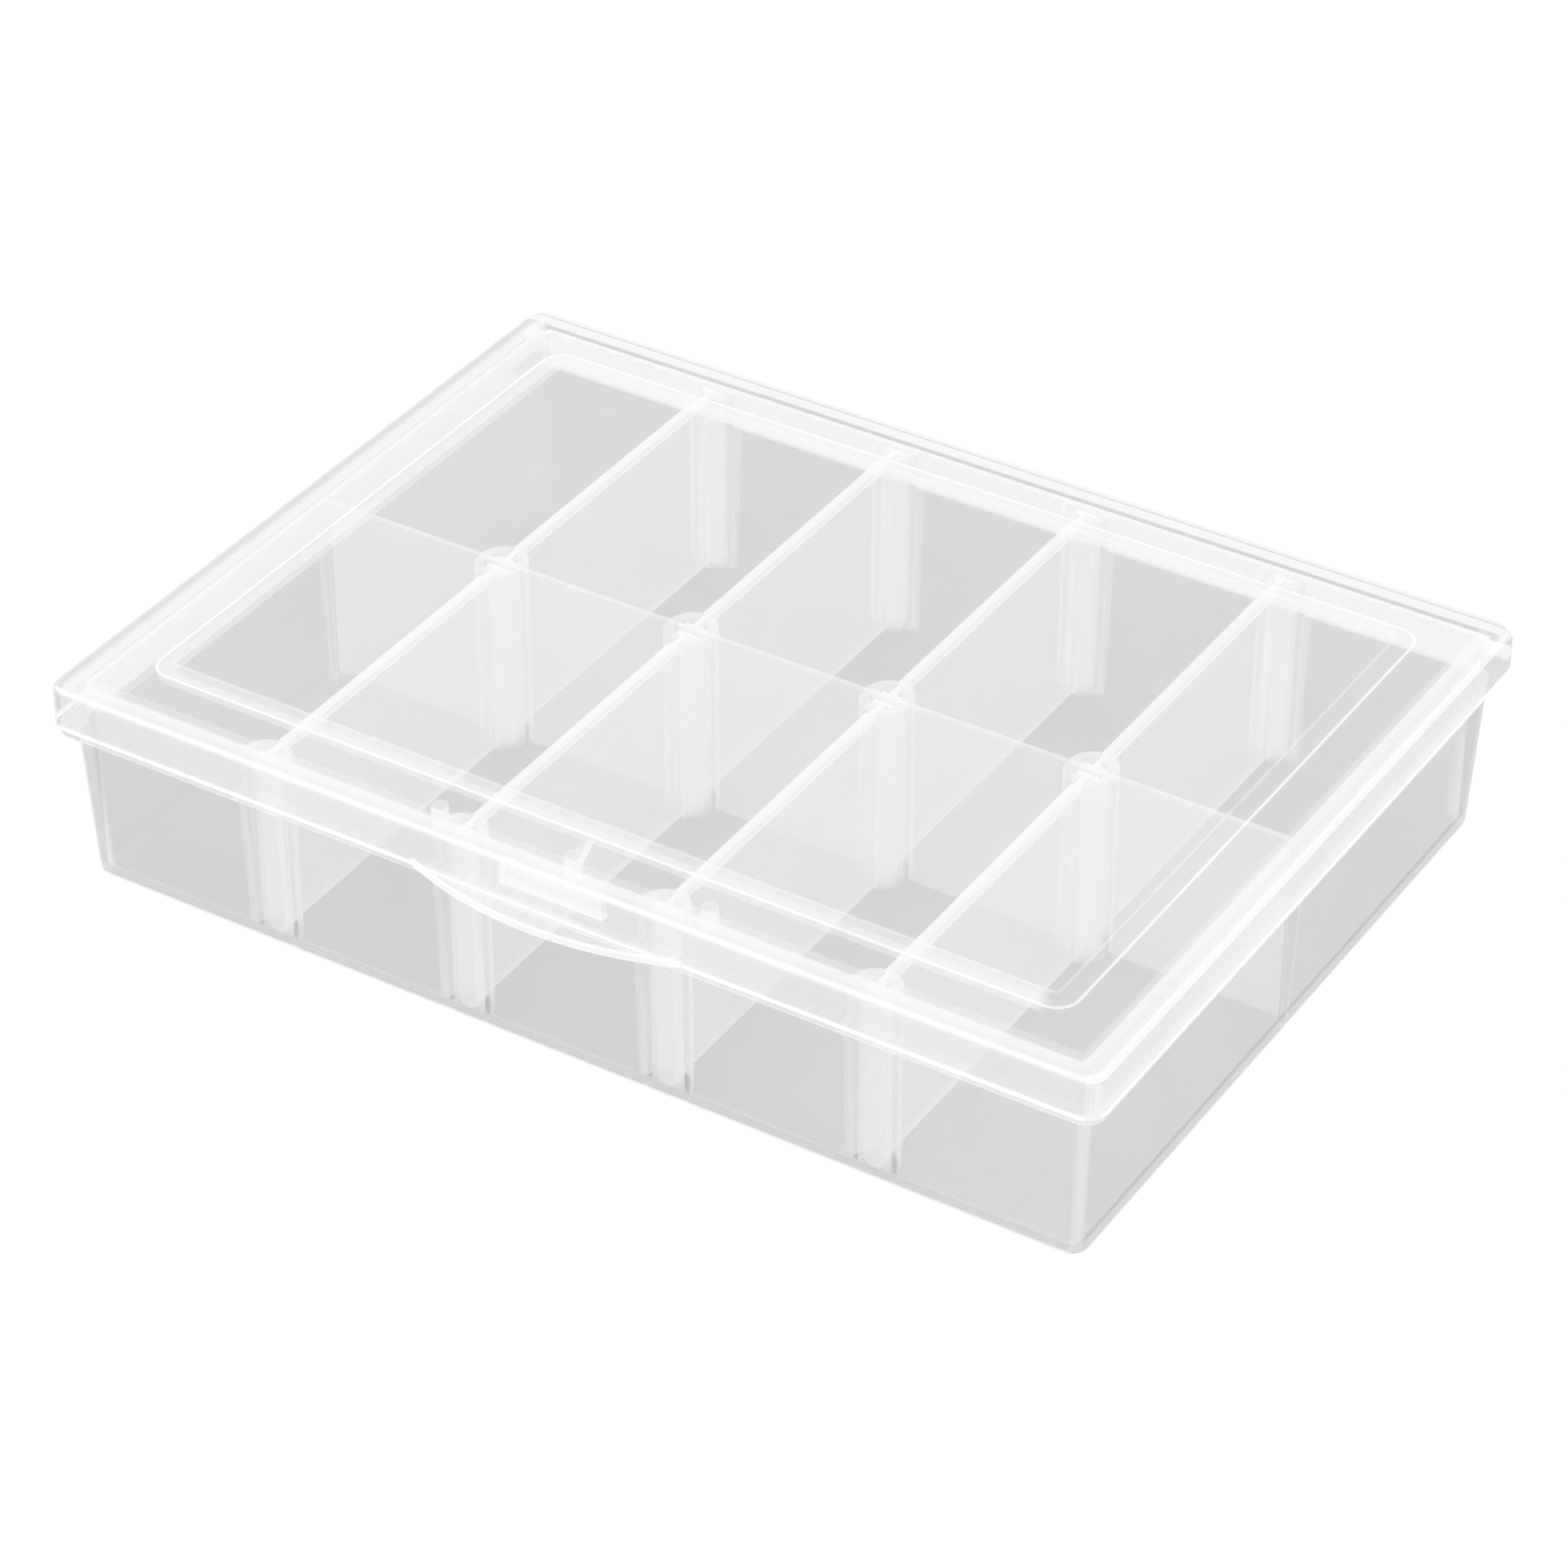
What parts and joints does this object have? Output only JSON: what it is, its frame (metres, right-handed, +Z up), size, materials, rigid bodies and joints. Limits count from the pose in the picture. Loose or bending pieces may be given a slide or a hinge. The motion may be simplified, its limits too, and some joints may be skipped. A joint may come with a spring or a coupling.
{
  "type": "sorting box",
  "caption": "Flat rectangular box of translucent plastic with a pin-hinged snap lid, moulded-in middle wall, slotted guide posts and lift-out dividers that make two rows of compartments.",
  "frame": {"origin": "middle of the tray's underside, on the surface that the box stands on", "axes": "+X to the right along the front, +Y to the hinge at the back, +Z up"},
  "size_m": [0.25, 0.1897, 0.0502],
  "materials": {
    "tray_plastic": "milky translucent, smooth",
    "lid_plastic": "nearly clear, smooth",
    "divider_plastic": "milky translucent, smooth"
  },
  "bodies": {
    "tray": {"tray": "tray_plastic"},
    "lid": {"lid": "lid_plastic"},
    "front_divider_1": {"front_divider_1": "divider_plastic"},
    "front_divider_2": {"front_divider_2": "divider_plastic"},
    "front_divider_3": {"front_divider_3": "divider_plastic"},
    "front_divider_4": {"front_divider_4": "divider_plastic"},
    "back_divider_1": {"back_divider_1": "divider_plastic"},
    "back_divider_2": {"back_divider_2": "divider_plastic"},
    "back_divider_3": {"back_divider_3": "divider_plastic"},
    "back_divider_4": {"back_divider_4": "divider_plastic"}
  },
  "joints": [
    {"name": "lid_hinge", "type": "hinge", "parent": "tray", "child": "lid", "pos_m": [0, 0.0871, 0.0441], "axis": [-1, 0, 0], "range_deg": [0, 110]},
    {"name": "front_divider_1_lift", "type": "slide", "parent": "tray", "child": "front_divider_1", "axis": [0, 0, 1], "range_m": [0, 0.0007]},
    {"name": "front_divider_2_lift", "type": "slide", "parent": "tray", "child": "front_divider_2", "axis": [0, 0, 1], "range_m": [0, 0.0007]},
    {"name": "front_divider_3_lift", "type": "slide", "parent": "tray", "child": "front_divider_3", "axis": [0, 0, 1], "range_m": [0, 0.0007]},
    {"name": "front_divider_4_lift", "type": "slide", "parent": "tray", "child": "front_divider_4", "axis": [0, 0, 1], "range_m": [0, 0.0007]},
    {"name": "back_divider_1_lift", "type": "slide", "parent": "tray", "child": "back_divider_1", "axis": [0, 0, 1], "range_m": [0, 0.0007]},
    {"name": "back_divider_2_lift", "type": "slide", "parent": "tray", "child": "back_divider_2", "axis": [0, 0, 1], "range_m": [0, 0.0007]},
    {"name": "back_divider_3_lift", "type": "slide", "parent": "tray", "child": "back_divider_3", "axis": [0, 0, 1], "range_m": [0, 0.0007]},
    {"name": "back_divider_4_lift", "type": "slide", "parent": "tray", "child": "back_divider_4", "axis": [0, 0, 1], "range_m": [0, 0.0007]}
  ]
}
